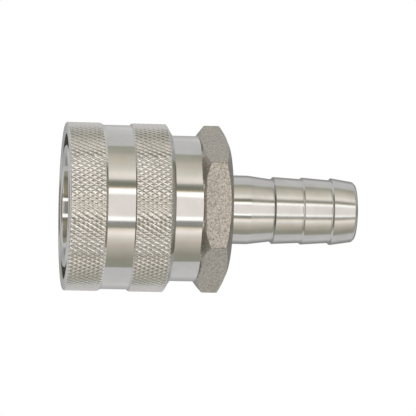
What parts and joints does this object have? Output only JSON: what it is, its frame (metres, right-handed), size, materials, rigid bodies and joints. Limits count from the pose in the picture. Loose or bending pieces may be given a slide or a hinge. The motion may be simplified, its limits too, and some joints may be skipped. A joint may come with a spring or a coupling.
{
  "type": "ball-lock hose coupling",
  "caption": "Steel quick-disconnect socket with a knurled sliding sleeve, spring-loaded locking balls, a hex body and a hose barb.",
  "frame": {"origin": "on the coupling's axis, in the plane of the mouth", "axes": "+X along the axis from the mouth to the barb's tip, +Z out of a hex flat, +Y through a hex corner"},
  "size_m": [0.0602, 0.0346, 0.0346],
  "materials": {
    "body_steel": "turned, satin-bright stainless steel",
    "sleeve_steel": "knurled and turned stainless steel",
    "spring_steel": "drawn stainless spring wire",
    "ring_steel": "stamped stainless spring steel",
    "ball_steel": "polished stainless ball",
    "silicone": "translucent white silicone"
  },
  "bodies": {
    "socket": {"socket_body": "body_steel", "retaining_ring": "ring_steel", "bore_seal": "silicone"},
    "spring": {"return_spring": "spring_steel"},
    "sleeve": {"release_sleeve": "sleeve_steel"},
    "ball_1": {"ball_1": "ball_steel"},
    "ball_2": {"ball_2": "ball_steel"},
    "ball_3": {"ball_3": "ball_steel"},
    "ball_4": {"ball_4": "ball_steel"},
    "ball_5": {"ball_5": "ball_steel"},
    "ball_6": {"ball_6": "ball_steel"},
    "ball_7": {"ball_7": "ball_steel"},
    "ball_8": {"ball_8": "ball_steel"},
    "ball_9": {"ball_9": "ball_steel"},
    "ball_10": {"ball_10": "ball_steel"},
    "ball_11": {"ball_11": "ball_steel"},
    "ball_12": {"ball_12": "ball_steel"}
  },
  "joints": [
    {"name": "sleeve_spin", "type": "hinge", "parent": "socket", "child": "spring", "pos_m": [0, 0, 0], "axis": [1, 0, 0], "continuous": true},
    {"name": "sleeve_slide", "type": "slide", "parent": "spring", "child": "sleeve", "axis": [1, 0, 0], "range_m": [0, 0.0045], "stiffness_N_per_m": 700, "springref_m": -0.0132, "deforming": ["return_spring"]},
    {"name": "ball_1_lift", "type": "slide", "parent": "socket", "child": "ball_1", "axis": [0, 0, 1], "range_m": [0, 0.0014]},
    {"name": "ball_2_lift", "type": "slide", "parent": "socket", "child": "ball_2", "axis": [0, -0.5, 0.866], "range_m": [0, 0.0014]},
    {"name": "ball_3_lift", "type": "slide", "parent": "socket", "child": "ball_3", "axis": [0, -0.866, 0.5], "range_m": [0, 0.0014]},
    {"name": "ball_4_lift", "type": "slide", "parent": "socket", "child": "ball_4", "axis": [0, -1, 0], "range_m": [0, 0.0014]},
    {"name": "ball_5_lift", "type": "slide", "parent": "socket", "child": "ball_5", "axis": [0, -0.866, -0.5], "range_m": [0, 0.0014]},
    {"name": "ball_6_lift", "type": "slide", "parent": "socket", "child": "ball_6", "axis": [0, -0.5, -0.866], "range_m": [0, 0.0014]},
    {"name": "ball_7_lift", "type": "slide", "parent": "socket", "child": "ball_7", "axis": [0, 0, -1], "range_m": [0, 0.0014]},
    {"name": "ball_8_lift", "type": "slide", "parent": "socket", "child": "ball_8", "axis": [0, 0.5, -0.866], "range_m": [0, 0.0014]},
    {"name": "ball_9_lift", "type": "slide", "parent": "socket", "child": "ball_9", "axis": [0, 0.866, -0.5], "range_m": [0, 0.0014]},
    {"name": "ball_10_lift", "type": "slide", "parent": "socket", "child": "ball_10", "axis": [0, 1, 0], "range_m": [0, 0.0014]},
    {"name": "ball_11_lift", "type": "slide", "parent": "socket", "child": "ball_11", "axis": [0, 0.866, 0.5], "range_m": [0, 0.0014]},
    {"name": "ball_12_lift", "type": "slide", "parent": "socket", "child": "ball_12", "axis": [0, 0.5, 0.866], "range_m": [0, 0.0014]}
  ],
  "couplings": [
    {"joint": "ball_1_lift", "follows": "sleeve_slide", "ratio": 0.3111},
    {"joint": "ball_2_lift", "follows": "sleeve_slide", "ratio": 0.3111},
    {"joint": "ball_3_lift", "follows": "sleeve_slide", "ratio": 0.3111},
    {"joint": "ball_4_lift", "follows": "sleeve_slide", "ratio": 0.3111},
    {"joint": "ball_5_lift", "follows": "sleeve_slide", "ratio": 0.3111},
    {"joint": "ball_6_lift", "follows": "sleeve_slide", "ratio": 0.3111},
    {"joint": "ball_7_lift", "follows": "sleeve_slide", "ratio": 0.3111},
    {"joint": "ball_8_lift", "follows": "sleeve_slide", "ratio": 0.3111},
    {"joint": "ball_9_lift", "follows": "sleeve_slide", "ratio": 0.3111},
    {"joint": "ball_10_lift", "follows": "sleeve_slide", "ratio": 0.3111},
    {"joint": "ball_11_lift", "follows": "sleeve_slide", "ratio": 0.3111},
    {"joint": "ball_12_lift", "follows": "sleeve_slide", "ratio": 0.3111}
  ]
}
